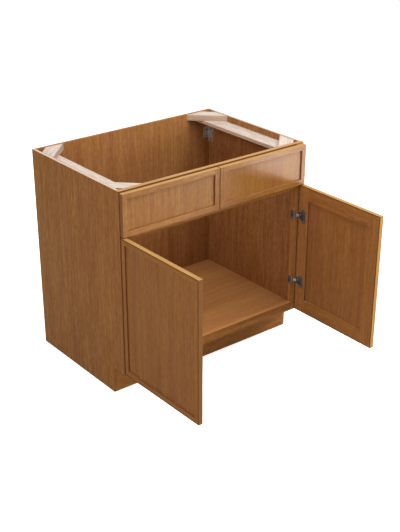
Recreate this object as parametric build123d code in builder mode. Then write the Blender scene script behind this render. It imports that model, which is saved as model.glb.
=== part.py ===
from build123d import *
import os

# Sink base cabinet: a plywood box behind a face frame, two false drawer fronts and a pair
# of doors on concealed cup hinges, shown with both doors standing open.
# Millimetres. X runs to the right, Y towards the wall and Z up. The origin is on the floor,
# in the plane of the cabinet's rear face and halfway across its width.

# Overall size
cabinet_width = 914.4
cabinet_depth = 609.6
cabinet_height = 876.3
toe_height = 114.3
toe_depth = 76.2

# Plywood box
side_thickness = 12.7
back_thickness = 12.7
floor_thickness = 12.7
toe_board_thickness = 12.7
housing_depth = 6.35
floor_lip = 15.9

# Face frame
frame_thickness = 19.05
stile_width = 38.1
mullion_width = 38.1
top_rail_height = 38.1
mid_rail_height = 38.1
bottom_rail_height = 38.1
dowel_radius = 4.0
dowel_length = 32.0
dowel_spacing = 19.0

# Stretchers, corner blocks and corner brackets
stretcher_width = 73.0
stretcher_thickness = 14.0
block_thickness = 25.4
block_width = 58.0
block_drop = 1.6
rear_block_setback = 44.0
front_block_setback = 28.0
bracket_leg = 33.0
bracket_thickness = 2.0
bracket_drop = 76.3
bracket_height = 50.8
bracket_bend = 3.0
prong_length = 22.0
prong_width = 6.0
prong_slot_width = 13.0
bracket_screw_inset = 14.0
bracket_screw_spacing = 29.0

# Doors and false fronts
side_reveal = 2.4
top_reveal = 6.35
centre_gap = 3.2
front_to_door_gap = 3.2
front_height = 169.9
door_height = 577.85
leaf_thickness = 19.05
rim_width = 22.2
member_width = 60.3
recess_depth = 6.35
panel_thickness = 6.35
panel_clearance = 0.3
eased_edge = 1.0
door_gap = 3.6
bumper_radius = 4.5
bumper_inset = 10.0
bumper_clearance = 0.2

# Cup hinges
left_opening = 89.6
right_opening = 89.6
lower_hinge_inset = 141.0
upper_hinge_inset = 135.0
pin_from_edge = 8.4
pin_depth = 8.4
pin_radius = 1.2
pin_length = 20.0
running_clearance = 0.05
eye_wall = 1.0
eye_height = 11.0
cup_centre = 21.5
bore_radius = 17.5
bore_depth = 11.8
cup_clearance = 0.2
cup_wall = 0.7
flange_rim = 1.0
flange_thickness = 1.0
wing_offset = 14.0
wing_width = 22.0
wing_height = 57.0
wing_corner = 5.0
cup_screw_spacing = 45.0
arm_thickness = 1.6
arm_bend = 1.8
arm_reach = 10.6
arm_rise = 6.5
neck_height = 14.0
plate_height = 36.0
plate_length = 17.5
plate_screw_spacing = 22.0

# Screws
screw_radius = 1.8
screw_head_radius = 3.6
screw_head_height = 1.8
screw_crown = 1.2
screw_clearance = 0.1
cup_screw_length = 10.0
plate_screw_length = 16.0
bracket_screw_length = 11.0
front_screw_length = 31.75
front_screw_inner_inset = 76.2
front_screw_outer_inset = 152.4

# Places that follow from the sizes
half_width = cabinet_width / 2
side_inner = half_width - side_thickness
stile_inner = half_width - stile_width
frame_front = -cabinet_depth
frame_back = frame_front + frame_thickness
frame_middle = (frame_front + frame_back) / 2
back_front = -back_thickness
toe_front = frame_front + toe_depth
bottom_rail_top = toe_height + bottom_rail_height
floor_top = bottom_rail_top - floor_lip
floor_bottom = floor_top - floor_thickness
top_rail_bottom = cabinet_height - top_rail_height
leaf_outer = half_width - side_reveal
leaf_width = leaf_outer - centre_gap / 2
ledge_thickness = leaf_thickness - recess_depth - panel_thickness
front_bottom = cabinet_height - top_reveal - front_height
door_bottom = front_bottom - front_to_door_gap - door_height
mid_rail_centre = front_bottom - front_to_door_gap / 2
mid_rail_bottom = mid_rail_centre - mid_rail_height / 2
mid_rail_top = mid_rail_bottom + mid_rail_height
block_top = cabinet_height - block_drop
stretcher_top = block_top - block_thickness
pin_line = leaf_outer - pin_from_edge
pin_front = frame_front - door_gap - pin_depth
hinge_heights = (
    door_bottom + lower_hinge_inset,
    door_bottom + door_height - upper_hinge_inset,
)
bracket_top = cabinet_height - bracket_drop

os.makedirs("parts", exist_ok=True)
tolerance = 0.01
sides = {"left": -1, "right": 1}
openings = {"left": left_opening, "right": right_opening}
rails = {
    "top_rail": (top_rail_bottom, top_rail_height),
    "mid_rail": (mid_rail_bottom, mid_rail_height),
    "bottom_rail": (toe_height, bottom_rail_height),
}


def write(piece, name):
    """Names a finished piece and writes it to its own file."""
    piece.part.label = name
    export_step(piece.part, f"parts/{name}.step")


def board(low, high):
    """Square-edged board between its lowest and highest corners."""
    low, high = Vector(*low), Vector(*high)
    size = high - low
    with BuildPart() as piece:
        with BuildSketch(Plane.XY.offset(low.Z)):
            with Locations(((low.X + high.X) / 2, (low.Y + high.Y) / 2)):
                Rectangle(size.X, size.Y)
        extrude(amount=size.Z)
    return piece


def pan_screw(length):
    """Pan head screw, its head seated on the XY plane and its shank below."""
    with BuildPart() as screw:
        with BuildSketch(Plane.XZ):
            with BuildLine():
                Polyline(
                    (0, -length),
                    (screw_radius, 2 * screw_radius - length),
                    (screw_radius, 0),
                    (screw_head_radius, 0),
                    (screw_head_radius, screw_head_height),
                    (0, screw_head_height),
                    close=True,
                )
            make_face()
        revolve(axis=Axis.Z)
        crown = screw.faces().sort_by(Axis.Z)[-1]
        chamfer(crown.edges(), length=screw_crown)
    return screw


def screw_group(planes, length):
    """Separate equal screws, one on each plane, heads on the planes' far side."""
    screw = pan_screw(length)
    with BuildPart() as group:
        with Locations(*planes):
            add(screw.part)
    return group


def drill(planes, radius, depth):
    """Blind holes into the part being built, one below each plane."""
    with Locations(*planes):
        Hole(radius, depth)


# ---------------------------------------------------------------- hole places


def bracket_screw_planes(side):
    """Seats of one corner bracket's screws: two on its back leg and one on its side leg."""
    hand = sides[side]
    heights = [bracket_top - bracket_screw_inset + step * bracket_screw_spacing for step in (0, -1)]
    back = [
        Plane(
            origin=(hand * (side_inner - bracket_screw_inset), back_front - bracket_thickness, z),
            x_dir=(1, 0, 0),
            z_dir=(0, -1, 0),
        )
        for z in heights
    ]
    side_leg = [
        Plane(
            origin=(
                hand * (side_inner - bracket_thickness),
                back_front - bracket_leg / 2,
                bracket_top - bracket_screw_inset,
            ),
            x_dir=(0, 1, 0),
            z_dir=(-hand, 0, 0),
        )
    ]
    return back, side_leg


def front_screw_planes(side, depth):
    """Seats of the screws that hold one false front, on the plane at this depth."""
    hand = sides[side]
    rim_heights = (
        cabinet_height - top_reveal - rim_width / 2,
        front_bottom + rim_width / 2,
    )
    across = (leaf_outer - front_screw_outer_inset, centre_gap / 2 + front_screw_inner_inset)
    return {
        z: [Plane(origin=(hand * x, depth, z), x_dir=(1, 0, 0), z_dir=(0, 1, 0)) for x in across]
        for z in rim_heights
    }


def plate_screw_planes(side, inset):
    """Seats of one door's hinge plate screws, this far inside the stile's inner edge."""
    hand = sides[side]
    return [
        Plane(
            origin=(hand * (stile_inner - inset), frame_front + plate_length / 2 + arm_bend, z + step),
            x_dir=(0, 1, 0),
            z_dir=(-hand, 0, 0),
        )
        for z in hinge_heights
        for step in (-plate_screw_spacing / 2, plate_screw_spacing / 2)
    ]


def dowel_heights(rail):
    """Heights of the two dowels at each end of a rail."""
    bottom, height = rails[rail]
    middle = bottom + height / 2
    return (middle - dowel_spacing / 2, middle + dowel_spacing / 2)


def mullion_dowel_planes(height, up):
    """Planes across the two dowels at one end of the mullion, looking up or down."""
    return [
        Plane(origin=(step * dowel_spacing / 2, frame_middle, height), x_dir=(1, 0, 0), z_dir=(0, 0, up))
        for step in (-1, 1)
    ]


# ---------------------------------------------------------------- the plywood box


def make_side_panel(side):
    """Side panel with its toe notch, a rebate for the back and a housing for the floor."""
    hand = sides[side]
    with BuildPart() as panel:
        with BuildSketch(Plane.YZ.offset(hand * half_width)):
            with BuildLine():
                Polyline(
                    (0, 0),
                    (toe_front, 0),
                    (toe_front, toe_height),
                    (frame_back, toe_height),
                    (frame_back, cabinet_height),
                    (0, cabinet_height),
                    close=True,
                )
            make_face()
        extrude(amount=-hand * side_thickness)
        with BuildSketch(Plane.YZ.offset(hand * side_inner)):
            with Locations((-back_thickness / 2, cabinet_height / 2)):
                Rectangle(back_thickness, cabinet_height)
            with Locations(((frame_back + back_front) / 2, (floor_bottom + floor_top) / 2)):
                Rectangle(back_front - frame_back, floor_thickness)
        extrude(amount=hand * housing_depth, mode=Mode.SUBTRACT)
        drill(bracket_screw_planes(side)[1], screw_radius + screw_clearance, bracket_screw_length)
    return panel


def make_back_panel():
    """Back panel, held in the rebates of the side panels."""
    reach = side_inner + housing_depth
    with BuildPart() as panel:
        with BuildSketch(Plane.XZ):
            with Locations((0, cabinet_height / 2)):
                Rectangle(2 * reach, cabinet_height)
        extrude(amount=back_thickness)
        for side in sides:
            drill(bracket_screw_planes(side)[0], screw_radius + screw_clearance, bracket_screw_length)
    return panel


for side in sides:
    write(make_side_panel(side), f"{side}_side_panel")
write(make_back_panel(), "back_panel")
floor_reach = side_inner + housing_depth
write(
    board((-floor_reach, frame_back, floor_bottom), (floor_reach, back_front, floor_top)),
    "bottom_panel",
)
write(
    board(
        (-side_inner, toe_front, 0),
        (side_inner, toe_front + toe_board_thickness, floor_bottom),
    ),
    "toe_kick_board",
)


# ---------------------------------------------------------------- the face frame


def make_stile(side):
    """Upright of the face frame, bored for the rails' dowels and the hinge plates' screws."""
    hand = sides[side]
    dowels = [
        Plane(origin=(hand * stile_inner, frame_middle, z), x_dir=(0, 1, 0), z_dir=(-hand, 0, 0))
        for rail in rails
        for z in dowel_heights(rail)
    ]
    with BuildPart() as stile:
        with BuildSketch(Plane.XZ.offset(cabinet_depth)):
            with Locations((hand * (half_width - stile_width / 2), (toe_height + cabinet_height) / 2)):
                Rectangle(stile_width, cabinet_height - toe_height)
        extrude(amount=-frame_thickness)
        drill(dowels, dowel_radius + screw_clearance, dowel_length / 2)
        drill(plate_screw_planes(side, 0), screw_radius + screw_clearance, plate_screw_length)
    return stile


def make_rail(rail):
    """Cross member of the face frame, bored for its dowels and the false fronts' screws."""
    bottom, height = rails[rail]
    dowels = [
        Plane(origin=(hand * stile_inner, frame_middle, z), x_dir=(0, 1, 0), z_dir=(hand, 0, 0))
        for hand in sides.values()
        for z in dowel_heights(rail)
    ]
    screws = [
        plane
        for side in sides
        for z, planes in front_screw_planes(side, frame_back).items()
        for plane in planes
        if bottom < z < bottom + height
    ]
    if rail == "top_rail":
        dowels += mullion_dowel_planes(top_rail_bottom, -1)
    if rail == "mid_rail":
        dowels += mullion_dowel_planes(mid_rail_top, 1)
    with BuildPart() as member:
        with BuildSketch(Plane.XZ.offset(cabinet_depth)):
            with Locations((0, bottom + height / 2)):
                Rectangle(2 * stile_inner, height)
        extrude(amount=-frame_thickness)
        drill(dowels, dowel_radius + screw_clearance, dowel_length / 2)
        if screws:
            drill(screws, screw_radius + screw_clearance, frame_thickness)
    return member


def make_mullion():
    """Short upright behind the gap between the false fronts."""
    dowels = mullion_dowel_planes(top_rail_bottom, 1) + mullion_dowel_planes(mid_rail_top, -1)
    with BuildPart() as mullion:
        with BuildSketch(Plane.XZ.offset(cabinet_depth)):
            with Locations((0, (mid_rail_top + top_rail_bottom) / 2)):
                Rectangle(mullion_width, top_rail_bottom - mid_rail_top)
        extrude(amount=-frame_thickness)
        drill(dowels, dowel_radius + screw_clearance, dowel_length / 2)
    return mullion


def make_dowels():
    """Dowels across every joint of the face frame, as separate pins."""
    places = [
        Plane(
            origin=(hand * stile_inner - dowel_length / 2, frame_middle, z),
            x_dir=(0, 1, 0),
            z_dir=(1, 0, 0),
        )
        for hand in sides.values()
        for rail in rails
        for z in dowel_heights(rail)
    ]
    for joint in (top_rail_bottom, mid_rail_top):
        places += mullion_dowel_planes(joint - dowel_length / 2, 1)
    with BuildPart() as dowels:
        for place in places:
            with BuildSketch(place):
                Circle(dowel_radius)
            extrude(amount=dowel_length)
    return dowels


for side in sides:
    write(make_stile(side), f"{side}_stile")
for rail in rails:
    write(make_rail(rail), rail)
write(make_mullion(), "mullion")
write(make_dowels(), "face_frame_dowels")


# ---------------------------------------------------------------- bracing inside the box


def make_corner_block(hand, corner_depth, inward, setback):
    """Brace across a top corner: a strip at 45 degrees, its ends cut to lie on both walls."""
    reach = setback + block_width * 2**0.5
    outline = [(setback, 0), (reach, 0), (0, reach), (0, setback)]
    with BuildPart() as block:
        with BuildSketch(Plane.XY.offset(stretcher_top)):
            with BuildLine():
                points = [(hand * (side_inner - x), corner_depth + inward * y) for x, y in outline]
                Polyline(*points, close=True)
            make_face()
        extrude(amount=block_thickness)
    return block


def make_corner_bracket(side):
    """Bent steel bracket in a rear corner, with a forked leg on the side panel."""
    hand = sides[side]
    corner = Vector(hand * side_inner, back_front)
    prong_bottom = bracket_top - bracket_height - prong_length
    slot_middle = prong_width + prong_slot_width / 2
    with BuildPart() as bracket:
        with BuildSketch(Plane.XY.offset(prong_bottom)):
            with BuildLine():
                bend = FilletPolyline(
                    corner + Vector(-hand * bracket_leg, -bracket_thickness / 2),
                    corner + Vector(-hand * bracket_thickness / 2, -bracket_thickness / 2),
                    corner + Vector(-hand * bracket_thickness / 2, -bracket_leg),
                    radius=bracket_bend,
                )
            trace(line_width=bracket_thickness)
        extrude(amount=bracket_top - prong_bottom)
        # The back leg stops at the body's lower edge, and so does the fork's outer shoulder.
        with BuildSketch(Plane.XZ.offset(-back_front)):
            with Locations((corner.X - hand * (bracket_leg + bracket_bend) / 2, prong_bottom)):
                Rectangle(bracket_leg - bracket_bend, 2 * prong_length)
        extrude(amount=bracket_thickness, mode=Mode.SUBTRACT)
        with BuildSketch(Plane.YZ.offset(corner.X)):
            shoulder = 2 * prong_width + prong_slot_width
            with Locations((back_front - (shoulder + bracket_leg) / 2, prong_bottom)):
                Rectangle(bracket_leg - shoulder, prong_length)
            with Locations((back_front - slot_middle, prong_bottom)):
                SlotOverall(2 * prong_length, prong_slot_width, rotation=90)
        extrude(amount=-hand * bracket_leg / 2, mode=Mode.SUBTRACT)
        for planes in bracket_screw_planes(side):
            drill(planes, screw_radius + screw_clearance, bracket_thickness)
    return bracket


for side, hand in sides.items():
    write(
        board(
            (min(hand * side_inner, hand * (side_inner - stretcher_width)), frame_back,
             stretcher_top - stretcher_thickness),
            (max(hand * side_inner, hand * (side_inner - stretcher_width)), back_front, stretcher_top),
        ),
        f"{side}_side_stretcher",
    )
    write(make_corner_block(hand, frame_back, 1, front_block_setback), f"front_{side}_corner_block")
    write(make_corner_block(hand, back_front, -1, rear_block_setback), f"rear_{side}_corner_block")
    write(make_corner_bracket(side), f"{side}_corner_bracket")
bracket_seats = [
    plane for side in sides for planes in bracket_screw_planes(side) for plane in planes
]
write(screw_group(bracket_seats, bracket_screw_length), "bracket_screws")


# ---------------------------------------------------------------- doors and false fronts
# A leaf is drawn on a plane at the lower end of its outer edge, where its rear face is:
# local X runs across it, Y out of its rear face and Z up. inward turns a distance from the
# outer edge into local X: 1 on a left leaf and -1 on a right one.


def front_plane(side):
    """Plane of a false front, seated on the face frame."""
    return Plane(
        origin=(sides[side] * leaf_outer, frame_front, front_bottom),
        x_dir=(1, 0, 0),
        z_dir=(0, 0, 1),
    )


def door_plane(side):
    """Plane of a door, turned about its hinge pins to its opening."""
    hand = sides[side]
    turn = hand * openings[side]
    pin = Vector(hand * pin_line, pin_front, door_bottom)
    corner = Vector(hand * pin_from_edge, pin_depth, 0).rotate(Axis.Z, turn)
    return Plane(origin=pin + corner, x_dir=Vector(1, 0, 0).rotate(Axis.Z, turn), z_dir=(0, 0, 1))


def rear_plane(leaf, across, up, out=0):
    """Plane on or over a leaf's rear face that looks out of it."""
    return Plane(origin=leaf.from_local_coords(Vector(across, out, up)), x_dir=leaf.x_dir, z_dir=leaf.y_dir)


def make_leaf_stile(leaf, inward, start, height, cuts=()):
    """Upright of a leaf: a thick rim outside and a thin ledge behind the panel."""
    section = [
        (0, 0),
        (0, -leaf_thickness),
        (rim_width, -leaf_thickness),
        (rim_width, -ledge_thickness),
        (member_width, -ledge_thickness),
        (member_width, 0),
    ]
    with BuildPart() as stile:
        with BuildSketch(leaf) as profile:
            with BuildLine():
                Polyline(*[(start + inward * x, y) for x, y in section], close=True)
            make_face()
            fillet(
                [
                    corner
                    for corner in profile.vertices()
                    if abs(corner.X - start) < tolerance
                    or abs(corner.Y + leaf_thickness) < tolerance
                ],
                radius=eased_edge,
            )
        extrude(amount=height)
        ends = [face for face in stile.faces() if abs(face.normal_at().Z) > 1 - tolerance]
        rounded = [
            edge
            for face in ends
            for edge in face.edges()
            if abs(leaf.to_local_coords(edge.center()).X - start) < rim_width / 2 + tolerance
            or abs(leaf.to_local_coords(edge.center()).Y) < tolerance
        ]
        fillet(rounded, radius=eased_edge)
        for planes, radius, depth in cuts:
            drill(planes, radius, depth)
    return stile


def make_leaf_rail(leaf, inward, end, up, cuts=()):
    """Cross member of a leaf: its rim runs between the stiles' rims, over their ledges."""
    inner_rim = leaf_width - 2 * rim_width
    inner_ledge = leaf_width - 2 * member_width
    middle = inward * leaf_width / 2
    with BuildPart() as rail:
        with BuildSketch(leaf.offset(end)):
            with Locations((middle, -(leaf_thickness + ledge_thickness) / 2)):
                Rectangle(inner_rim, leaf_thickness - ledge_thickness)
        extrude(amount=up * rim_width)
        with BuildSketch(leaf.offset(end)):
            with Locations((middle, -ledge_thickness / 2)):
                Rectangle(inner_ledge, ledge_thickness)
        extrude(amount=up * member_width)
        across = rail.edges().filter_by(Axis(leaf.origin, leaf.x_dir))
        rounded = []
        for edge in across:
            place = leaf.to_local_coords(edge.center())
            on_front = abs(place.Y + leaf_thickness) < tolerance
            on_back = abs(place.Y) < tolerance
            at_end = abs(place.Z - end) < tolerance
            if on_front or (on_back and at_end):
                rounded.append(edge)
        fillet(rounded, radius=eased_edge)
        for planes, radius, depth in cuts:
            drill(planes, radius, depth)
    return rail


def make_leaf_panel(leaf, inward, height, cuts=()):
    """Flat panel inside the rims, seated on the front of the ledges."""
    inset = rim_width + panel_clearance
    with BuildPart() as panel:
        with BuildSketch(leaf.offset(inset)):
            with Locations((inward * leaf_width / 2, -ledge_thickness - panel_thickness / 2)):
                Rectangle(leaf_width - 2 * inset, panel_thickness)
        extrude(amount=height - 2 * inset)
        for planes, radius, depth in cuts:
            drill(planes, radius, depth)
    return panel


def write_false_front(side):
    """The five pieces of a false front."""
    leaf = front_plane(side)
    inward = -sides[side]
    depth = front_screw_length - frame_thickness
    high, low = front_screw_planes(side, frame_front).values()
    radius = screw_radius + screw_clearance
    write(make_leaf_stile(leaf, inward, 0, front_height), f"{side}_front_outer_stile")
    write(
        make_leaf_stile(leaf, -inward, inward * leaf_width, front_height),
        f"{side}_front_inner_stile",
    )
    write(
        make_leaf_rail(leaf, inward, front_height, -1, [(high, radius, depth)]),
        f"{side}_front_top_rail",
    )
    write(make_leaf_rail(leaf, inward, 0, 1, [(low, radius, depth)]), f"{side}_front_bottom_rail")
    write(make_leaf_panel(leaf, inward, front_height), f"{side}_front_panel")


def cup_planes(side, out=0):
    """Planes on a door's rear face over the centres of its two hinge cups."""
    leaf = door_plane(side)
    return [rear_plane(leaf, -sides[side] * cup_centre, z - door_bottom, out) for z in hinge_heights]


def cup_screw_planes(side, out=0):
    """Planes on a door's rear face over the screws of its hinge cups."""
    leaf = door_plane(side)
    return [
        rear_plane(leaf, -sides[side] * (cup_centre + wing_offset), z - door_bottom + step, out)
        for z in hinge_heights
        for step in (-cup_screw_spacing / 2, cup_screw_spacing / 2)
    ]


def write_door(side):
    """The five pieces of a door, its hinge stile and panel bored for the cups."""
    leaf = door_plane(side)
    inward = -sides[side]
    cuts = [
        (cup_planes(side), bore_radius, bore_depth),
        (cup_screw_planes(side), screw_radius + screw_clearance, cup_screw_length),
    ]
    write(make_leaf_stile(leaf, inward, 0, door_height, cuts), f"{side}_door_hinge_stile")
    write(
        make_leaf_stile(leaf, -inward, inward * leaf_width, door_height),
        f"{side}_door_lock_stile",
    )
    write(make_leaf_rail(leaf, inward, door_height, -1), f"{side}_door_top_rail")
    write(make_leaf_rail(leaf, inward, 0, 1), f"{side}_door_bottom_rail")
    write(make_leaf_panel(leaf, inward, door_height, cuts), f"{side}_door_panel")


def make_bumpers(side):
    """Soft bumpers that keep a door's rear face off the rails."""
    leaf = door_plane(side)
    across = -sides[side] * (leaf_width - bumper_inset)
    thickness = door_gap - bumper_clearance
    with BuildPart() as bumpers:
        for up in (bumper_inset, door_height - bumper_inset):
            with BuildSketch(rear_plane(leaf, across, up)):
                Circle(bumper_radius)
            extrude(amount=thickness)
        domes = [
            edge
            for edge in bumpers.edges().filter_by(GeomType.CIRCLE)
            if leaf.to_local_coords(edge.center()).Y > thickness / 2
        ]
        fillet(domes, radius=thickness / 3)
    return bumpers


for side in sides:
    write_false_front(side)
    write_door(side)
    write(make_bumpers(side), f"{side}_door_bumpers")
front_seats = [
    plane
    for side in sides
    for planes in front_screw_planes(side, frame_back).values()
    for plane in planes
]
write(screw_group(front_seats, front_screw_length), "false_front_screws")


# ---------------------------------------------------------------- cup hinges
# Each hinge is a steel cup with a winged flange let into the door, a pin across the cup,
# and a cranked arm whose rolled eye turns on the pin. The arm leaves the cup's mouth, runs
# between door and frame and folds round the stile's inner edge, where it is screwed.


def make_cup(side, height):
    """Pressed steel cup with its flange and wings."""
    leaf = door_plane(side)
    mouth = rear_plane(leaf, -sides[side] * cup_centre, height - door_bottom)
    wings = rear_plane(leaf, -sides[side] * (cup_centre + wing_offset), height - door_bottom)
    radius = bore_radius - cup_clearance
    depth = bore_depth - cup_clearance
    inner = radius - cup_wall
    section = Plane(origin=mouth.origin, x_dir=leaf.x_dir, z_dir=leaf.z_dir)
    screws = [
        plane for plane in cup_screw_planes(side, flange_thickness)
        if abs(plane.origin.Z - height) < cup_screw_spacing
    ]
    pin = Plane(
        origin=leaf.from_local_coords(
            Vector(-sides[side] * pin_from_edge, -pin_depth, height - door_bottom - pin_length)
        ),
        z_dir=(0, 0, 1),
    )
    with BuildPart() as cup:
        with BuildSketch(section):
            with BuildLine():
                Polyline(
                    (0, -depth),
                    (radius, -depth),
                    (radius, 0),
                    (bore_radius + flange_rim, 0),
                    (bore_radius + flange_rim, flange_thickness),
                    (inner, flange_thickness),
                    (inner, cup_wall - depth),
                    (0, cup_wall - depth),
                    close=True,
                )
            make_face()
        revolve(axis=Axis(mouth.origin, mouth.z_dir))
        with BuildSketch(wings):
            RectangleRounded(wing_width, wing_height, wing_corner)
            with Locations((sides[side] * wing_offset, 0)):
                Circle((radius + inner) / 2, mode=Mode.SUBTRACT)
        extrude(amount=flange_thickness)
        drill(screws, screw_radius + screw_clearance, flange_thickness)
        with BuildSketch(pin):
            Circle(pin_radius + running_clearance)
        extrude(amount=2 * pin_length, mode=Mode.SUBTRACT)
    return cup


def make_pins(side):
    """Pins of a door's two hinges, across the cups."""
    hand = sides[side]
    with BuildPart() as pins:
        for height in hinge_heights:
            with BuildSketch(Plane.XY.offset(height - pin_length / 2)):
                with Locations((hand * pin_line, pin_front)):
                    Circle(pin_radius)
            extrude(amount=pin_length)
    return pins


def make_arm(side, height):
    """Cranked arm from the pin's eye round the stile's inner edge to its screw plate."""
    hand = sides[side]
    gap_middle = pin_depth + (door_gap + flange_thickness) / 2
    to_plate = pin_line - stile_inner + arm_thickness / 2
    plate_end = pin_depth + door_gap + arm_bend + plate_length
    path = [
        (0, 0),
        (arm_reach, 0),
        (arm_reach + arm_rise, gap_middle),
        (to_plate, gap_middle),
        (to_plate, plate_end),
    ]
    eye_radius = pin_radius + running_clearance + eye_wall
    outline = [
        (-eye_radius, eye_height / 2),
        (arm_reach, eye_height / 2),
        (arm_reach + arm_rise, neck_height / 2),
        (to_plate - arm_bend, plate_height / 2),
        (to_plate + arm_thickness, plate_height / 2),
    ]
    mirrored = [(x, -z) for x, z in reversed(outline)]
    pin = Plane(origin=(hand * pin_line, pin_front, height), x_dir=(1, 0, 0), z_dir=(0, 0, 1))
    front = Plane(origin=pin.origin, x_dir=(1, 0, 0), z_dir=(0, -1, 0))
    screws = [
        plane for plane in plate_screw_planes(side, arm_thickness)
        if abs(plane.origin.Z - height) < plate_screw_spacing
    ]
    with BuildPart() as arm:
        with BuildSketch(pin.offset(-plate_height / 2)):
            with BuildLine():
                FilletPolyline(
                    *[(-hand * x, y) for x, y in path],
                    radius=[arm_bend, arm_bend, (door_gap - flange_thickness) / 2],
                )
            trace(line_width=arm_thickness)
            Circle(eye_radius)
            Circle(pin_radius + running_clearance, mode=Mode.SUBTRACT)
        extrude(amount=plate_height)
        with BuildSketch(front):
            with BuildLine():
                Polyline(*[(-hand * x, z) for x, z in outline + mirrored], close=True)
            make_face()
        extrude(amount=plate_end + arm_bend, both=True, mode=Mode.INTERSECT)
        tips = [
            edge
            for edge in arm.edges().filter_by(Axis.X)
            if edge.center().Y > pin_front + plate_end - tolerance
        ]
        fillet(tips, radius=wing_corner)
        drill(screws, screw_radius + screw_clearance, arm_thickness)
    return arm


for side in sides:
    for place, height in zip(("lower", "upper"), hinge_heights):
        write(make_cup(side, height), f"{side}_{place}_hinge_cup")
        write(make_arm(side, height), f"{side}_{place}_hinge_arm")
    write(make_pins(side), f"{side}_hinge_pins")
    cup_seats = cup_screw_planes(side, flange_thickness)
    write(screw_group(cup_seats, cup_screw_length), f"{side}_cup_screws")
plate_seats = [plane for side in sides for plane in plate_screw_planes(side, arm_thickness)]
write(screw_group(plate_seats, plate_screw_length), "hinge_plate_screws")
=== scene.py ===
import math
import operator
from collections import namedtuple

import bpy
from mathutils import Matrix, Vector


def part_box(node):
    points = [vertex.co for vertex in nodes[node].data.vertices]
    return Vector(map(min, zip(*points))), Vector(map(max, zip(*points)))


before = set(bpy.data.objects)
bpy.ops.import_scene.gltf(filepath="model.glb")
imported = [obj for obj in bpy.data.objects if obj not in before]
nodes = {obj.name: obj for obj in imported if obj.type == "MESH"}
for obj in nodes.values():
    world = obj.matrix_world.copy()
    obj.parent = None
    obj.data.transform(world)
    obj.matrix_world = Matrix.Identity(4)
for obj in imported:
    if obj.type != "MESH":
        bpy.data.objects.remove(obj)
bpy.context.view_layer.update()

# Places of the axes in a vector.
X, Y, Z = range(3)

# ---------------------------------------------------------------- sizes, in metres
MILLIMETRE = 0.001
SIDE_INNER = -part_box("left_side_stretcher")[0].x
HALF_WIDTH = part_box("right_side_panel")[1].x
FRAME_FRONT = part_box("right_stile")[0].y
# Depth of the painted highlight on the top of a board.
PAINTED_HIGHLIGHT_DEPTH = 2 * MILLIMETRE
# Width of the painted shade round a door's rim.
PAINTED_RIM_WIDTH = 5 * MILLIMETRE
KNOT_PLACE = (-HALF_WIDTH, -0.3049, 0.6370)
KNOT_REACH = 13 * MILLIMETRE

# ---------------------------------------------------------------- camera
# The angles are in degrees, down from level and right of +Y. The sensor spans the image's height.
CAMERA_PLACE = (-2.3610, -3.4677, 2.1932)
CAMERA_PITCH = 25.19
CAMERA_YAW = 38.548
FOCAL_PIXELS = 1023.19
IMAGE_HEIGHT = 532
SENSOR = 36.0
CLIP = (0.1, 100.0)

# ---------------------------------------------------------------- colours, linear
WHITE = (1.000, 1.000, 1.000)
BLACK = (0.000, 0.000, 0.000)

# Stained wood; the pale stain is also a painted highlight on the bottom rail's top. After the
# knot come three painted highlights: on the tops of the leaves, on the face frame's top and on
# the right door's free edge. The four after them are painted shade on narrow edges, recess
# walls, ledges, the frame's front faces and the doors' rims; the first of the four also colours
# the stained outer veneers of the side panels' raw tops.
STAIN = (0.358, 0.147, 0.041)
PALE_STAIN_AND_PAINTED_TOP = (0.426, 0.190, 0.062)
STAIN_DEEP = (0.292, 0.108, 0.023)
PORE = (0.200, 0.066, 0.018)
KNOT = (0.240, 0.088, 0.026)
PAINTED_TOP_HIGHLIGHT = (0.400, 0.225, 0.075)
PAINTED_FRAME_TOP_HIGHLIGHT = (0.370, 0.210, 0.092)
PAINTED_EDGE_HIGHLIGHT = (0.540, 0.275, 0.075)
STAINED_VENEER_AND_PAINTED_SHADE = (0.280, 0.108, 0.031)
PAINTED_FREE_EDGE_SHADE = (0.325, 0.138, 0.047)
PAINTED_HINGE_EDGE_SHADE = (0.250, 0.100, 0.028)
PAINTED_DARK_SHADE = (0.190, 0.072, 0.017)

# Unfinished plywood: its faces, its cut edges, and the side panels' raw tops.
BARE = (0.430, 0.355, 0.300)
BARE_PALE = (0.510, 0.435, 0.375)
BARE_DEEP = (0.370, 0.293, 0.235)
CUT = (0.740, 0.530, 0.385)
CUT_LINE = (0.610, 0.415, 0.285)
RAW = (0.440, 0.345, 0.260)
RAW_PALE = (0.500, 0.410, 0.325)

STEEL = (0.150, 0.140, 0.145)
ARM_STEEL = (0.200, 0.190, 0.175)
SCREW_STEEL = (0.140, 0.135, 0.130)
ZINC = (0.420, 0.370, 0.345)
CLEAR = (0.900, 0.900, 0.880)

# Tints that multiply a colour: the two ends of the stain's bands, whole boards, and hinge plates.
BROWN = (0.955, 0.915, 0.985)
YELLOW = (1.045, 1.085, 1.015)
# Painted tints that give the back panel, the floor and the right side panel the colour of their
# shade inside the cabinet.
INSIDE_PAINTED_SHADE_HUE = (0.95, 1.02, 1.20)
BOTTOM_PAINTED_SHADE_HUE = (0.98, 1.07, 1.24)
RIGHT_SIDE_PAINTED_SHADE_HUE = (0.98, 1.08, 1.32)
FRONT = (0.97, 1.00, 0.82)
# The left front painted darker and less blue than the right one: painted shade.
LEFT_FRONT_PAINTED_SHADE = (0.91, 0.92, 0.70)
# A paler, bluer tint on the left front's outer stile for its weaker sheen: a painted reflection.
CORNER_PAINTED_REFLECTION = (1.03, 1.10, 1.40)
# Painted light on the right stile and the right door's hinge stile, where the cabinet casts shade.
PAINTED_LIGHT = (1.20, 1.30, 1.38)
DOOR_PANEL = (0.93, 0.93, 1.02)
PLATE_TINT = (0.62, 0.56, 0.54)

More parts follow.
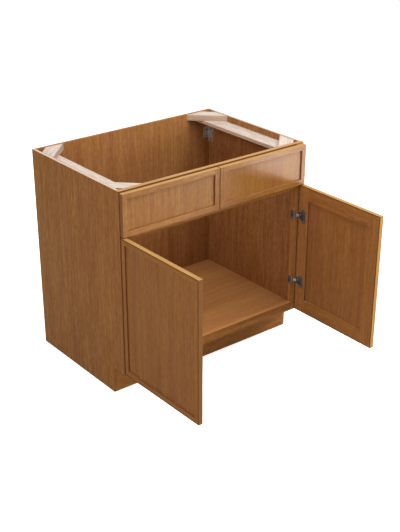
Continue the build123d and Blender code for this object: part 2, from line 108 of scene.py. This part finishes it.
# ---------------------------------------------------------------- grain, relief and gloss
# Noise by its waves per metre along and across the grain, and its own settings.
Waves = namedtuple("Waves", "along across detail roughness distortion")
BANDS = Waves(1.2, 22.0, 2.0, 0.5, 0.5)
STREAKS = Waves(5.0, 80.0, 3.0, 0.6, 0.3)
FLECKS = Waves(45.0, 110.0, 2.0, 0.5, 0.0)
LINES = Waves(11.0, 420.0, 3.0, 0.6, 0.0)
PORES = Waves(60.0, 1600.0, 1.0, 0.5, 0.0)
BARE_FINE = 2.0

# Shares of the noises in the stain's tone, and of the pores in its colour.
FLECK_SHARE = 0.35
STREAK_SHARE = 0.45
LINE_SHARE = 0.20
PORE_SHARE = 0.35

# Half the part of the tone that runs from the deep to the pale stain.
PLAIN_SPREAD = 0.14
FRAME_SPREAD = 0.13
SIDE_SPREAD = 0.115
BOTTOM_SPREAD = 0.24
DOOR_SPREAD = 0.18
FRONT_SPREAD = 0.125
RIGHT_FRONT_SPREAD = 0.17

# Places on ramps, with colours where they are always the same.
MIDDLE = 0.50
BAND_ENDS = (0.38, 0.62)
SHADE_ENDS = (0.35, 0.60)
PORE_STOPS = [(0.60, BLACK), (0.70, WHITE)]
SPOT_STOPS = [(0.25, (0.7, 0.7, 0.7)), (1.0, BLACK)]
BARE_STOPS = [(0.42, BARE_DEEP), (0.49, BARE), (0.56, BARE_PALE)]
RAW_TOP_VENEERS = [(0.0, STAINED_VENEER_AND_PAINTED_SHADE), (0.10, RAW_PALE), (0.38, RAW), (0.60, RAW_PALE), (0.90, STAINED_VENEER_AND_PAINTED_SHADE)]
STRETCHER_VENEERS = [(0.0, CUT), (0.35, CUT_LINE), (0.55, CUT), (0.85, CUT_LINE), (0.95, CUT)]
BLOCK_VENEERS = [(0.0, CUT), (0.15, CUT_LINE), (0.30, CUT), (0.50, CUT_LINE), (0.65, CUT)]

# The deeper end of a colour as a part of it.
SHADE_LEAST = 0.85
CUT_LEAST = 0.80

# Mean roughness, how far it varies, and the level of the mirroring.
WOOD_ROUGHNESS = 0.42
FRONT_ROUGHNESS = 0.30
BARE_ROUGHNESS = 0.80
PLASTIC_ROUGHNESS = 0.20
WOOD_VARIES = 0.14
METAL_VARIES = 0.20
PLASTIC_VARIES = 0.20
PANEL_SHEEN = 0.02
FRONT_SHEEN = 0.18
CORNER_SHEEN = 0.03
HONEY_SHEEN = 0.04
BARE_SHEEN = 0.20

# Strength and distance of the relief, and how much of the wood's is its fine lines.
WOOD_RELIEF = (0.10, 0.3 * MILLIMETRE)
METAL_RELIEF = (0.08, 0.1 * MILLIMETRE)
PLASTIC_RELIEF = (0.05, 0.1 * MILLIMETRE)
LINE_RELIEF = 0.6

# Metal's blotches and brushing and plastic's cloud, in waves per metre on X, Y and Z.
BLOTCHES = {"scale": (110.0, 110.0, 110.0), "detail": 3.0}
BRUSHING = {"scale": (2500.0, 2500.0, 120.0), "detail": 2.0}
CLOUD = {"scale": (400.0, 400.0, 400.0), "detail": 2.0}
BLOTCH_LEAST = 0.7
BLOTCH_MOST = 1.2
CLEAR_SHARE = 0.95
CLEAR_IOR = 1.2

# A face counts as square to an axis when this much of its normal lies along it.
SQUARE_ON = 0.7

# Counts and steps that give each piece a place of its own in the noise.
SHIFT_STEPS = ((17, 1.7), (23, 1.3), (13, 2.1))


class Graph:
    """A small helper that adds shader nodes and links them."""

    def __init__(self, name):
        self.material = bpy.data.materials.new(name)
        self.material.use_nodes = True
        self.tree = self.material.node_tree
        self.shader = self.tree.nodes["Principled BSDF"]

    def add(self, kind, **settings):
        node = self.tree.nodes.new(kind)
        for key, value in settings.items():
            if key in node.inputs:
                node.inputs[key].default_value = value
            else:
                setattr(node, key, value)
        return node

    def link(self, source, target):
        self.tree.links.new(source, target)

    def feed(self, socket, source):
        """Links a value to one of the shader's own sockets."""
        self.link(source, self.shader.inputs[socket])

    def set(self, **settings):
        """Plain values on the shader's own sockets, with _ for each space."""
        for key, value in settings.items():
            self.shader.inputs[key.replace("_", " ")].default_value = value

    def coordinates(self, kind):
        """Object, the place in the shared frame at rest, or Normal, the direction of the face."""
        return self.add("ShaderNodeTexCoord").outputs[kind]

    def math(self, operation, *values):
        node = self.add("ShaderNodeMath", operation=operation)
        for socket, value in zip(node.inputs, values):
            if isinstance(value, (int, float)):
                socket.default_value = value
            else:
                self.link(value, socket)
        return node.outputs[0]

    def mix(self, factor, first, second, blend="MIX"):
        """Mixes two colours. A Mix node has its colours on sockets 6 and 7 and on output 2."""
        node = self.add("ShaderNodeMix", data_type="RGBA", blend_type=blend)
        targets = (node.inputs[0], node.inputs[6], node.inputs[7])
        for socket, value in zip(targets, (factor, first, second)):
            if isinstance(value, (int, float)):
                socket.default_value = value
            elif isinstance(value, tuple):
                socket.default_value = (*value, 1.0)
            else:
                self.link(value, socket)
        return node.outputs[2]

    def ramp(self, value, stops, interpolation="LINEAR"):
        node = self.add("ShaderNodeValToRGB")
        node.color_ramp.interpolation = interpolation
        elements = node.color_ramp.elements
        while len(elements) < len(stops):
            elements.new(MIDDLE)
        for element, (place, colour) in zip(elements, stops):
            element.position = place
            element.color = (*colour, 1.0)
        self.link(value, node.inputs[0])
        return node.outputs[0]

    def noise(self, coordinates, scale, shift, detail, roughness=0.5, distortion=0.0):
        """Noise stretched by a scale per axis, in waves per metre."""
        mapping = self.add("ShaderNodeMapping", Location=shift, Scale=scale)
        self.link(coordinates, mapping.inputs["Vector"])
        noise = self.add(
            "ShaderNodeTexNoise",
            Scale=1.0, Detail=detail, Roughness=roughness, Distortion=distortion,
        )
        self.link(mapping.outputs[0], noise.inputs["Vector"])
        return noise.outputs[0]

    def remap(self, value, low, high, first=0.0):
        """Turns low to high into first to 1, and stays within them."""
        node = self.add("ShaderNodeMapRange")
        self.link(value, node.inputs["Value"])
        limits = {"From Min": low, "From Max": high, "To Min": first, "To Max": 1.0}
        for socket, limit in limits.items():
            node.inputs[socket].default_value = limit
        return node.outputs["Result"]

    def split(self, vector):
        """The X, Y and Z parts of a vector."""
        node = self.add("ShaderNodeSeparateXYZ")
        self.link(vector, node.inputs[0])
        return node.outputs

    def roughen(self, variation, mean, varies):
        """A roughness that varies about its mean."""
        self.feed("Roughness", self.math("MULTIPLY_ADD", variation, varies, mean - varies / 2))

    def relief(self, height, strength, distance):
        bump = self.add("ShaderNodeBump", Strength=strength, Distance=distance)
        self.link(height, bump.inputs["Height"])
        self.feed("Normal", bump.outputs[0])


def shift_for(name):
    """A fixed place in the noise for each piece, so that no two boards match."""
    total = sum((index + 1) * ord(letter) for index, letter in enumerate(name))
    return tuple(total % count * step for count, step in SHIFT_STEPS)


class Grain:
    """The grain of one board: bands, streaks, flecks, fine lines and short pores on one axis.

    A turn, in degrees about Z, comes before the axis. Fine is how much finer the streaks are.
    """

    def __init__(self, graph, name, axis, turn=0.0, fine=1.0):
        self.place = graph.coordinates("Object")
        if turn:
            turned = graph.add("ShaderNodeMapping", Rotation=(0.0, 0.0, math.radians(turn)))
            graph.link(self.place, turned.inputs["Vector"])
            self.place = turned.outputs[0]
        shift = shift_for(name)

        def noise(waves, longer=1.0, finer=1.0):
            lengthwise, across = waves.along / longer, waves.across * finer
            scale = tuple(lengthwise if letter == axis else across for letter in "XYZ")
            return graph.noise(
                self.place, scale, shift, waves.detail, waves.roughness, waves.distortion
            )

        self.bands = noise(BANDS)
        self.streaks = noise(STREAKS, finer=fine)
        self.flecks = noise(FLECKS, longer=fine, finer=fine)
        self.lines = noise(LINES)
        self.pores = graph.ramp(noise(PORES), PORE_STOPS)
        tone = graph.math("MULTIPLY", self.flecks, FLECK_SHARE)
        tone = graph.math("MULTIPLY_ADD", self.streaks, STREAK_SHARE, tone)
        self.tone = graph.math("MULTIPLY_ADD", self.lines, LINE_SHARE, tone)


def scaled(colour, factor):
    return tuple(factor * part for part in colour)


def shades(colour, least=SHADE_LEAST):
    """Stops for a ramp from a deeper to the full colour."""
    return list(zip(SHADE_ENDS, (scaled(colour, least), colour)))


def facing(graph, axis, upwards=False):
    """1 on faces square to an axis at rest, or only on those that look up it, and 0 elsewhere."""
    normal = graph.split(graph.coordinates("Normal"))[axis]
    if not upwards:
        normal = graph.math("ABSOLUTE", normal)
    return graph.math("GREATER_THAN", normal, SQUARE_ON)


def near_ends(graph, place, axis, low, high):
    """1 within the rim of either end of a box along an axis, and 0 between."""
    part = graph.split(place)[axis]
    first = graph.math("LESS_THAN", part, low[axis] + PAINTED_RIM_WIDTH)
    last = graph.math("GREATER_THAN", part, high[axis] - PAINTED_RIM_WIDTH)
    return graph.math("MAXIMUM", first, last)


def spot(graph, place, centre, reach):
    """Strongest at a point, fading to 0 at this distance from it."""
    away = graph.add("ShaderNodeVectorMath", operation="DISTANCE")
    graph.link(place, away.inputs[0])
    away.inputs[1].default_value = centre
    return graph.ramp(graph.math("MULTIPLY", away.outputs["Value"], 1 / reach), SPOT_STOPS)


def plies(graph, across, low, high, veneers):
    """Colour of a plywood cut edge, from where its veneers start across the thickness."""
    return graph.ramp(graph.remap(across, low, high), veneers, "CONSTANT")


def finish_wood(graph, grain, colour, roughness, sheen):
    """Sets a board's colour, its roughness and sheen, and the relief of its grain."""
    graph.feed("Base Color", colour)
    graph.roughen(grain.streaks, roughness, WOOD_VARIES)
    graph.set(Specular_IOR_Level=sheen)
    pits = graph.math("MULTIPLY", grain.pores, -1.0)
    graph.relief(graph.math("MULTIPLY_ADD", grain.lines, LINE_RELIEF, pits), *WOOD_RELIEF)
    return graph.material


def stained(
    name, axis, spread=PLAIN_SPREAD, shade=WHITE, top=None, edge=None, edge_axis=X,
    raw_top=False, knot=None, painted_rim_box=None, roughness=WOOD_ROUGHNESS, sheen=PANEL_SHEEN,
):
    """Stained, lacquered wood, with painted light and shade on its tops, narrow edges and ledges.

    Shade multiplies the stain's tints, as painted light on some boards and painted shade on
    others; a raw top shows the veneers of plywood; and the painted rim box is the lowest and
    highest corner of a leaf whose faces get painted shade at its rim.
    """
    graph = Graph(name)
    grain = Grain(graph, name, axis)
    stops = [(MIDDLE - spread, STAIN_DEEP), (MIDDLE, STAIN), (MIDDLE + spread, PALE_STAIN_AND_PAINTED_TOP)]
    colour = graph.ramp(grain.tone, stops)
    tints = (tuple(map(operator.mul, tint, shade)) for tint in (BROWN, YELLOW))
    tint = graph.ramp(grain.bands, list(zip(BAND_ENDS, tints)))
    colour = graph.mix(1.0, colour, tint, "MULTIPLY")
    colour = graph.mix(graph.math("MULTIPLY", grain.pores, PORE_SHARE), colour, PORE)
    if knot is not None:
        colour = graph.mix(spot(graph, grain.place, knot, KNOT_REACH), colour, KNOT)
    # Narrow edges and recess walls get painted shade; one door's free edge a painted highlight.
    if edge is not None:
        painted_edge_faces = facing(graph, edge_axis)
        colour = graph.mix(painted_edge_faces, colour, graph.ramp(grain.lines, shades(edge)))
    # Painted shade round the rim of a door's faces.
    if painted_rim_box is not None:
        painted_rim_shade = graph.math("MAXIMUM", *(near_ends(graph, grain.place, way, *painted_rim_box) for way in (Y, Z)))
        painted_rim_shade = graph.math("MULTIPLY", painted_rim_shade, facing(graph, X))
        colour = graph.mix(painted_rim_shade, colour, PAINTED_DARK_SHADE)
    # Up faces get painted shade where they are ledges, and a painted highlight on a board's top.
    if top is not None:
        painted_up_faces = facing(graph, Z, upwards=True)
        colour = graph.mix(painted_up_faces, colour, graph.ramp(grain.lines, shades(STAINED_VENEER_AND_PAINTED_SHADE)))
        height = graph.split(grain.place)[Z]
        high = graph.math("GREATER_THAN", height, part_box(name)[1].z - PAINTED_HIGHLIGHT_DEPTH)
        painted_up_faces = graph.math("MULTIPLY", painted_up_faces, high)
        colour = graph.mix(painted_up_faces, colour, graph.ramp(grain.lines, shades(top)))
    if raw_top:
        away = graph.math("ABSOLUTE", graph.split(grain.place)[X])
        raw = plies(graph, away, SIDE_INNER, HALF_WIDTH, RAW_TOP_VENEERS)
        colour = graph.mix(facing(graph, Z, upwards=True), colour, raw)
    return finish_wood(graph, grain, colour, roughness, sheen)


def bare(name, axis, veneers, turn=0.0, depth=1.0):
    """Unfinished plywood: streaked faces, and cut edges that show the veneers, toned by a depth."""
    graph = Graph(name)
    grain = Grain(graph, name, axis, turn, BARE_FINE)
    face = graph.ramp(grain.tone, BARE_STOPS)
    low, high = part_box(name)
    height = graph.split(grain.place)[Z]
    cut = plies(graph, height, low.z, high.z, veneers)
    tone = graph.ramp(grain.streaks, shades(scaled(WHITE, depth), CUT_LEAST))
    cut = graph.mix(1.0, cut, tone, "MULTIPLY")
    colour = graph.mix(facing(graph, Z), cut, face)
    return finish_wood(graph, grain, colour, BARE_ROUGHNESS, BARE_SHEEN)


def metal(name, colour, roughness, metallic, dark_from):
    """Plated steel with faint brushing and soft blotches, darker behind a place on Y, if any."""
    graph = Graph(name)
    place = graph.coordinates("Object")
    shift = shift_for(name)
    blotches = graph.noise(place, shift=shift, **BLOTCHES)
    brush = graph.noise(place, shift=shift, **BRUSHING)
    ends = (scaled(colour, BLOTCH_LEAST), scaled(colour, BLOTCH_MOST))
    shade = graph.ramp(blotches, list(zip(BAND_ENDS, ends)))
    if dark_from is not None:
        behind = graph.math("GREATER_THAN", graph.split(place)[Y], dark_from)
        dark = graph.mix(1.0, shade, PLATE_TINT, "MULTIPLY")
        shade = graph.mix(behind, shade, dark)
    graph.feed("Base Color", shade)
    graph.set(Metallic=metallic)
    graph.roughen(brush, roughness, METAL_VARIES)
    graph.relief(brush, *METAL_RELIEF)
    return graph.material


def clear_plastic(name):
    """Soft clear plastic of the door bumpers, slightly cloudy."""
    graph = Graph(name)
    cloud = graph.noise(graph.coordinates("Object"), shift=shift_for(name), **CLOUD)
    graph.feed("Base Color", graph.ramp(cloud, shades(CLEAR)))
    graph.roughen(cloud, PLASTIC_ROUGHNESS, PLASTIC_VARIES)
    graph.set(Transmission_Weight=CLEAR_SHARE, IOR=CLEAR_IOR)
    graph.relief(cloud, *PLASTIC_RELIEF)
    return graph.material


# ---------------------------------------------------------------- finishes of the CAD nodes
# Boards whose grain doesn't run along Z, by the end of the name.
GRAIN = {"rail": "X", "bottom_panel": "X", "toe_kick_board": "X"}

# A door's boards by kind, with painted highlights on their tops and painted shade on the
# stiles' narrow edges.
DOOR_BOARDS = {
    "panel": {"shade": DOOR_PANEL},
    "bottom_rail": {},
    "top_rail": {"top": PAINTED_TOP_HIGHLIGHT},
    "lock_stile": {"top": PAINTED_TOP_HIGHLIGHT, "edge": PAINTED_FREE_EDGE_SHADE, "edge_axis": Y},
    "hinge_stile": {"top": PAINTED_TOP_HIGHLIGHT, "edge": PAINTED_HINGE_EDGE_SHADE, "edge_axis": Y},
}

# Boards with settings of their own, over those of their group.
BOARDS = {
    "left_side_panel": {"spread": SIDE_SPREAD, "raw_top": True, "knot": KNOT_PLACE},
    # Painted shade tints on the right side panel, the back panel and the floor.
    "right_side_panel": {"spread": SIDE_SPREAD, "raw_top": True, "shade": RIGHT_SIDE_PAINTED_SHADE_HUE},
    "back_panel": {"shade": INSIDE_PAINTED_SHADE_HUE},
    "bottom_panel": {"spread": BOTTOM_SPREAD, "shade": BOTTOM_PAINTED_SHADE_HUE},
    # Painted highlights on the tops of the face frame and its bottom rail, and painted shade on the
    # frame's front faces.
    "bottom_rail": {"top": PALE_STAIN_AND_PAINTED_TOP},
    "top_rail": {"spread": FRAME_SPREAD, "top": PAINTED_FRAME_TOP_HIGHLIGHT, "edge": PAINTED_DARK_SHADE, "edge_axis": Y},
    "left_stile": {"spread": FRAME_SPREAD, "top": PAINTED_FRAME_TOP_HIGHLIGHT, "edge": PAINTED_DARK_SHADE, "edge_axis": Y},
    # Painted light on the right stile.
    "right_stile": {"spread": FRAME_SPREAD, "top": PAINTED_FRAME_TOP_HIGHLIGHT, "shade": PAINTED_LIGHT},
    # The left front's outer stile: less sheen, and a painted reflection in its tint.
    "left_front_outer_stile": {"sheen": CORNER_SHEEN, "shade": CORNER_PAINTED_REFLECTION},
    # The left front's painted shade.
    "left_front_panel": {"shade": LEFT_FRONT_PAINTED_SHADE},
    "right_front_panel": {"spread": RIGHT_FRONT_SPREAD},
    # Painted light on the right door's hinge stile.
    "right_door_hinge_stile": {"shade": PAINTED_LIGHT},
    # The right door's free edge gets a painted highlight.
    "right_door_lock_stile": {"sheen": HONEY_SHEEN, "edge": PAINTED_EDGE_HIGHLIGHT},
}

# Turn of the grain in degrees, and depth of the cut edges.
CORNER_BLOCKS = {
    "front_left_corner_block": (45, 0.85),
    "front_right_corner_block": (-45, 0.85),
    "rear_left_corner_block": (-45, 0.52),
    "rear_right_corner_block": (45, 0.85),
}

# End of the name, colour, roughness, metallic, and the place on Y that it is darker behind.
METALS = [
    ("hinge_arm", ARM_STEEL, 0.35, 0.6, FRAME_FRONT),
    ("hinge_cup", STEEL, 0.40, 0.5, None),
    ("corner_bracket", ZINC, 0.45, 0.3, None),
    ("screws", SCREW_STEEL, 0.35, 0.6, None),
    ("pins", SCREW_STEEL, 0.35, 0.6, None),
]


def grain_of(node):
    """Axis that a board's grain runs along at rest. A door's rails point forwards."""
    if "_door_" in node and node.endswith("rail"):
        return "Y"
    for word, axis in GRAIN.items():
        if node.endswith(word):
            return axis
    return "Z"


def leaf_box(side):
    """Lowest and highest corner of a door's boards."""
    boxes = [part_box(node) for node in nodes if node.startswith(f"{side}_door_")]
    low = [min(box[0][axis] for box in boxes) for axis in range(3)]
    high = [max(box[1][axis] for box in boxes) for axis in range(3)]
    return low, high


def wood_of(node):
    """Stained finish of a board, from the settings of its group and its own."""
    settings = {}
    if "_door_" in node:
        side, kind = node.split("_door_")
        # Doors get painted shade round their rims.
        settings = {"spread": DOOR_SPREAD, "painted_rim_box": leaf_box(side), **DOOR_BOARDS[kind]}
    elif "_front_" in node:
        # Fronts: painted highlights on their tops, painted shade on ledges, narrow edges and recess
        # walls.
        low = node.endswith(("bottom_rail", "panel"))
        settings = {
            "spread": FRONT_SPREAD, "shade": FRONT, "top": STAINED_VENEER_AND_PAINTED_SHADE if low else PAINTED_TOP_HIGHLIGHT, "edge": STAINED_VENEER_AND_PAINTED_SHADE,
            "roughness": FRONT_ROUGHNESS, "sheen": FRONT_SHEEN,
        }
    settings.update(BOARDS.get(node, {}))
    return stained(node, grain_of(node), **settings)


def finish_of(node):
    for ending, *settings in METALS:
        if node.endswith(ending):
            return metal(node, *settings)
    if node.endswith("bumpers"):
        return clear_plastic(node)
    if node in CORNER_BLOCKS:
        return bare(node, "X", BLOCK_VENEERS, *CORNER_BLOCKS[node])
    if node.endswith("side_stretcher"):
        return bare(node, "Y", STRETCHER_VENEERS)
    if node == "face_frame_dowels":
        return bare(node, "X", BLOCK_VENEERS)
    return wood_of(node)


for name, piece in nodes.items():
    piece.data.materials.clear()
    piece.data.materials.append(finish_of(name))

# ---------------------------------------------------------------- floor, light and camera
FLOOR_SIZE = 30.0
FLOOR_LEVEL = -0.5 * MILLIMETRE

# The floor's colour to the camera, and its darker one for the light that it throws back.
FLOOR_COLOUR = (0.85, 0.85, 0.85)
FLOOR_BOUNCE = (0.35, 0.35, 0.35)

# The floor's own glow near the object, and how far away it starts to rise and is full.
FLOOR_GLOW = 0.85
GLOW_FROM = 1.2
GLOW_FULL = 4.0

# Light of the world on the object, and what the camera sees of it.
WORLD_STRENGTH = 0.05
WHITE_STRENGTH = 1.0

# Name, place, target, width and height in metres, and power in watts.
CENTRE = (0.0, -0.5, 0.45)
LIGHTS = [
    ("top", (0.0, -0.3, 3.4), CENTRE, 1.6, 1.6, 44.0),
    ("top_front", (0.0, -1.9, 3.0), CENTRE, 1.4, 1.4, 29.0),
    ("left_front", (-2.886, -2.559, 1.075), CENTRE, 1.2, 1.2, 25.0),
    ("left", (-3.477, -0.5, 1.382), CENTRE, 1.2, 1.2, 8.0),
    ("high_left", (-2.404, -0.5, 2.854), CENTRE, 1.2, 1.2, 23.0),
    ("right_front", (2.392, -2.892, 1.681), CENTRE, 1.2, 1.2, 39.0),
    ("high_right", (1.472, -1.35, 3.394), CENTRE, 1.2, 1.2, 54.0),
    ("right_box", (1.75, -2.35, 0.15), (0.0, -2.35, 0.15), 1.0, 0.26, 22.0),
    ("back", (0.0, 2.977, 1.382), CENTRE, 1.2, 1.2, 50.0),
    ("right", (3.477, -0.5, 1.382), CENTRE, 1.2, 1.2, 50.0),
]


def camera_only(tree, seen, lit):
    """Mixes two shaders: one for camera, glossy and transmission rays, one for the rest."""
    path = tree.nodes.new("ShaderNodeLightPath")
    share = path.outputs["Is Camera Ray"]
    for ray in ("Is Glossy Ray", "Is Transmission Ray"):
        either = tree.nodes.new("ShaderNodeMath")
        either.operation = "MAXIMUM"
        tree.links.new(share, either.inputs[0])
        tree.links.new(path.outputs[ray], either.inputs[1])
        share = either.outputs[0]
    mix = tree.nodes.new("ShaderNodeMixShader")
    tree.links.new(share, mix.inputs[0])
    tree.links.new(lit, mix.inputs[1])
    tree.links.new(seen, mix.inputs[2])
    return mix.outputs[0]


def make_floor():
    """A pale floor that shows white, with the object's shadow, and throws back little light.

    Its glow rises to full white away from the object, where it meets the white world.
    """
    bpy.ops.mesh.primitive_plane_add(size=FLOOR_SIZE, location=(0, 0, FLOOR_LEVEL))
    floor = bpy.context.object
    floor.name = "floor"
    graph = Graph("floor")
    tree = graph.tree
    tree.nodes.remove(graph.shader)
    diffuse = graph.add("ShaderNodeBsdfDiffuse", Color=(*FLOOR_COLOUR, 1.0))
    glow = graph.add("ShaderNodeEmission", Color=(*WHITE, 1.0))
    away = graph.add("ShaderNodeVectorMath", operation="LENGTH")
    graph.link(graph.coordinates("Object"), away.inputs[0])
    rise = graph.remap(away.outputs["Value"], GLOW_FROM, GLOW_FULL, FLOOR_GLOW)
    graph.link(rise, glow.inputs["Strength"])
    both = graph.add("ShaderNodeAddShader")
    graph.link(diffuse.outputs[0], both.inputs[0])
    graph.link(glow.outputs[0], both.inputs[1])
    bounce = graph.add("ShaderNodeBsdfDiffuse", Color=(*FLOOR_BOUNCE, 1.0))
    out = camera_only(tree, both.outputs[0], bounce.outputs[0])
    graph.link(out, tree.nodes["Material Output"].inputs["Surface"])
    floor.data.materials.append(graph.material)


def make_world():
    """A faint white fill light, in a world that shows plain white."""
    world = bpy.data.worlds.new("studio")
    world.use_nodes = True
    tree = world.node_tree
    fill = tree.nodes["Background"]
    seen = tree.nodes.new("ShaderNodeBackground")
    for background, strength in ((fill, WORLD_STRENGTH), (seen, WHITE_STRENGTH)):
        background.inputs["Color"].default_value = (*WHITE, 1.0)
        background.inputs["Strength"].default_value = strength
    out = camera_only(tree, seen.outputs[0], fill.outputs[0])
    tree.links.new(out, tree.nodes["World Output"].inputs["Surface"])
    bpy.context.scene.world = world


def area_light(name, place, target, width, height, power):
    data = bpy.data.lights.new(name, "AREA")
    data.shape = "RECTANGLE"
    data.size = width
    data.size_y = height
    data.energy = power
    lamp = bpy.data.objects.new(name, data)
    lamp.visible_camera = False
    lamp.location = place
    lamp.rotation_euler = (Vector(target) - Vector(place)).to_track_quat("-Z", "Y").to_euler()
    bpy.context.scene.collection.objects.link(lamp)


def make_camera():
    data = bpy.data.cameras.new("camera")
    data.sensor_width = SENSOR
    data.lens = SENSOR * FOCAL_PIXELS / IMAGE_HEIGHT
    data.clip_start, data.clip_end = CLIP
    camera = bpy.data.objects.new("camera", data)
    camera.location = CAMERA_PLACE
    camera.rotation_euler = (math.radians(90 - CAMERA_PITCH), 0.0, math.radians(-CAMERA_YAW))
    bpy.context.scene.collection.objects.link(camera)
    bpy.context.scene.camera = camera


make_floor()
make_world()
for light in LIGHTS:
    area_light(*light)
make_camera()
bpy.context.scene.view_settings.view_transform = "Standard"
